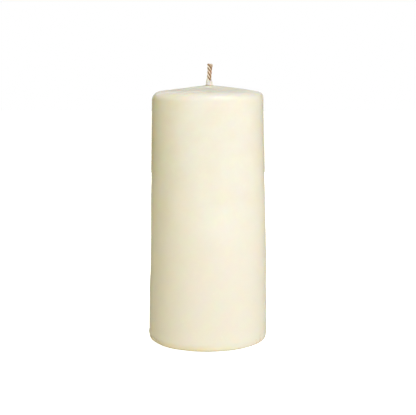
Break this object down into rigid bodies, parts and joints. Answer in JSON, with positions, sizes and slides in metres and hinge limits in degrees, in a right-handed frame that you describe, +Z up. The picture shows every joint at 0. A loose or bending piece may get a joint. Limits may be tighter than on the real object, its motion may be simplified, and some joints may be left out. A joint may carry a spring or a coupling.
{
  "type": "pillar candle",
  "caption": "Ivory wax pillar candle with a domed top, rounded edges and a twisted cotton wick held by a steel sustainer in its base.",
  "frame": {"origin": "centre of the base, on the surface that the candle stands on", "axes": "+Z up along the candle's axis; the wick drifts and leans towards +X; -Y faces the picture's camera"},
  "size_m": [0.07, 0.07, 0.1653],
  "materials": {
    "ivory_wax": "moulded paraffin wax with a dipped satin-gloss overcoat, ivory, slightly translucent at thin edges",
    "cotton_wick": "twisted cotton strands soaked in wax, beige with brown grooves",
    "tinned_steel": "thin tin-plated steel sheet, pressed, dull bright"
  },
  "bodies": {
    "root": {"wax_body": "ivory_wax", "wick": "cotton_wick", "wick_sustainer": "tinned_steel"}
  },
  "joints": []
}
